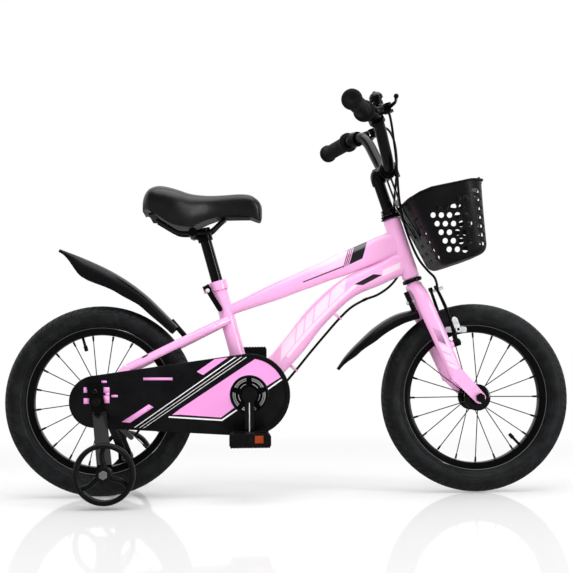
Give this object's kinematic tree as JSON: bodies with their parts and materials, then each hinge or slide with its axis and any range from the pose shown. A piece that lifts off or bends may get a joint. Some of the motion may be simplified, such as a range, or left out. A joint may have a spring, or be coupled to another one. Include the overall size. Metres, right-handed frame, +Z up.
{
  "type": "child's bicycle with training wheels",
  "caption": "Pink child's bicycle with training wheels, black front basket, padded saddle, chain guard, bell, fenders and hand brakes.",
  "frame": {"origin": "on the ground, midway between the two axles", "axes": "+X points forward, +Y to the rider's left, +Z up"},
  "size_m": [1.0632, 0.5014, 0.7443],
  "materials": {
    "frame_paint": "gloss pink",
    "black_paint": "satin black",
    "gloss_black": "gloss black",
    "steel": "zinc plated",
    "tyre": "matte tread",
    "rubber": "matte",
    "black_plastic": "fine grain",
    "saddle_cover": "grained synthetic cover"
  },
  "bodies": {
    "frame": {"frame": "frame_paint", "headset_cup_lower": "black_paint", "headset_cup_upper": "black_paint", "bracket_cup_right": "steel", "bracket_cup_left": "steel", "seat_clamp": "frame_paint", "release_skewer": "steel", "rear_axle": "black_paint", "chain": "steel", "chain_guard": "black_plastic", "rear_fender": "black_plastic", "training_bracket_right": "black_paint", "training_bracket_left": "black_paint", "training_bolt_right": "steel", "training_bolt_left": "steel", "rear_brake_housing": "black_paint", "rear_brake_cable": "rubber"},
    "release_lever": {"release_lever": "black_paint"},
    "rear_wheel": {"rear_tyre": "tyre", "rear_rim": "black_paint", "rear_hub": "black_paint", "rear_brake_drum": "steel"},
    "sprocket": {"rear_sprocket": "steel"},
    "rear_brake_arm": {"rear_brake_arm": "black_paint"},
    "cranks": {"crank_spindle": "steel", "crank_right": "black_paint", "crank_left": "black_paint", "chainring": "black_paint"},
    "pedal_right": {"pedal_right": "black_plastic"},
    "pedal_left": {"pedal_left": "black_plastic"},
    "training_wheel_right": {"training_wheel_right": "black_plastic"},
    "training_wheel_left": {"training_wheel_left": "black_plastic"},
    "seat": {"seat_post": "gloss_black", "saddle_clamp": "black_paint", "saddle_rails": "black_paint", "saddle_base": "black_plastic", "saddle": "saddle_cover"},
    "steering": {"headset_locknut": "gloss_black", "fork": "frame_paint", "front_axle": "black_paint", "front_fender": "black_plastic", "stem": "gloss_black", "handlebar": "black_paint", "grip_right": "rubber", "grip_left": "rubber", "lever_bracket_right": "black_paint", "lever_bracket_left": "black_paint", "basket": "black_plastic", "basket_bracket": "black_paint", "front_brake_cable": "rubber", "bar_brake_cable": "rubber", "bell": "black_plastic"},
    "front_wheel": {"front_tyre": "tyre", "front_rim": "black_paint", "front_hub": "black_paint"},
    "brake_lever_right": {"brake_lever_right": "black_paint"},
    "brake_lever_left": {"brake_lever_left": "black_paint"},
    "front_brake_arm_right": {"front_brake_arm_right": "black_paint"},
    "front_brake_arm_left": {"front_brake_arm_left": "black_paint"},
    "bell_lever": {"bell_lever": "black_plastic"}
  },
  "joints": [
    {"name": "steering_turn", "type": "hinge", "parent": "frame", "child": "steering", "pos_m": [0.23659, 0, 0.40531], "axis": [-0.309, 0, 0.9511], "range_deg": [-60, 60], "deforming": ["bar_brake_cable"]},
    {"name": "front_wheel_spin", "type": "hinge", "parent": "steering", "child": "front_wheel", "pos_m": [0.3525, 0, 0.178], "axis": [0, 1, 0], "continuous": true},
    {"name": "rear_wheel_spin", "type": "hinge", "parent": "frame", "child": "rear_wheel", "pos_m": [-0.3525, 0, 0.178], "axis": [0, 1, 0], "continuous": true},
    {"name": "sprocket_spin", "type": "hinge", "parent": "frame", "child": "sprocket", "pos_m": [-0.3525, 0, 0.178], "axis": [0, 1, 0], "continuous": true},
    {"name": "crank_spin", "type": "hinge", "parent": "frame", "child": "cranks", "pos_m": [-0.076, 0, 0.188], "axis": [0, 1, 0], "continuous": true},
    {"name": "pedal_right_spin", "type": "hinge", "parent": "cranks", "child": "pedal_right", "pos_m": [-0.076, -0.12, 0.11], "axis": [0, 1, 0], "continuous": true},
    {"name": "pedal_left_spin", "type": "hinge", "parent": "cranks", "child": "pedal_left", "pos_m": [-0.076, 0.12, 0.266], "axis": [0, 1, 0], "continuous": true},
    {"name": "training_wheel_right_spin", "type": "hinge", "parent": "frame", "child": "training_wheel_right", "pos_m": [-0.3245, -0.19, 0.059], "axis": [0, 1, 0], "continuous": true},
    {"name": "training_wheel_left_spin", "type": "hinge", "parent": "frame", "child": "training_wheel_left", "pos_m": [-0.3245, 0.19, 0.059], "axis": [0, 1, 0], "continuous": true},
    {"name": "seat_height", "type": "slide", "parent": "frame", "child": "seat", "axis": [-0.2656, 0, 0.9641], "range_m": [-0.04, 0.05]},
    {"name": "release_lever_turn", "type": "hinge", "parent": "frame", "child": "release_lever", "pos_m": [-0.15359, -0.0175, 0.38684], "axis": [-0.8536, 0, -0.521], "range_deg": [0, 120]},
    {"name": "brake_lever_right_pull", "type": "hinge", "parent": "steering", "child": "brake_lever_right", "pos_m": [0.18071, -0.10801, 0.70995], "axis": [0.309, 0, -0.9511], "range_deg": [0, 18], "stiffness_Nm_per_rad": 0.6, "springref_deg": -11.46},
    {"name": "brake_lever_left_pull", "type": "hinge", "parent": "steering", "child": "brake_lever_left", "pos_m": [0.18071, 0.10801, 0.70995], "axis": [-0.309, 0, 0.9511], "range_deg": [0, 18], "stiffness_Nm_per_rad": 0.6, "springref_deg": -11.46},
    {"name": "front_brake_arm_right_swing", "type": "hinge", "parent": "steering", "child": "front_brake_arm_right", "pos_m": [0.31233, -0.044, 0.28061], "axis": [-0.9511, 0, -0.309], "range_deg": [0, 3]},
    {"name": "front_brake_arm_left_swing", "type": "hinge", "parent": "steering", "child": "front_brake_arm_left", "pos_m": [0.31233, 0.044, 0.28061], "axis": [0.9511, 0, 0.309], "range_deg": [0, 3]},
    {"name": "rear_brake_arm_swing", "type": "hinge", "parent": "frame", "child": "rear_brake_arm", "pos_m": [-0.3385, 0.055, 0.142], "axis": [0, -1, 0], "range_deg": [0, 12], "deforming": ["rear_brake_cable"]},
    {"name": "bell_lever_push", "type": "hinge", "parent": "steering", "child": "bell_lever", "pos_m": [0.16303, -0.092, 0.72888], "axis": [0.309, 0, -0.9511], "range_deg": [0, 25], "stiffness_Nm_per_rad": 0.03, "springref_deg": -11.46}
  ],
  "couplings": [
    {"joint": "sprocket_spin", "follows": "crank_spin", "ratio": 1.75},
    {"joint": "front_brake_arm_right_swing", "follows": "brake_lever_right_pull", "ratio": 0.16},
    {"joint": "front_brake_arm_left_swing", "follows": "brake_lever_right_pull", "ratio": 0.16},
    {"joint": "rear_brake_arm_swing", "follows": "brake_lever_left_pull", "ratio": 0.6}
  ]
}
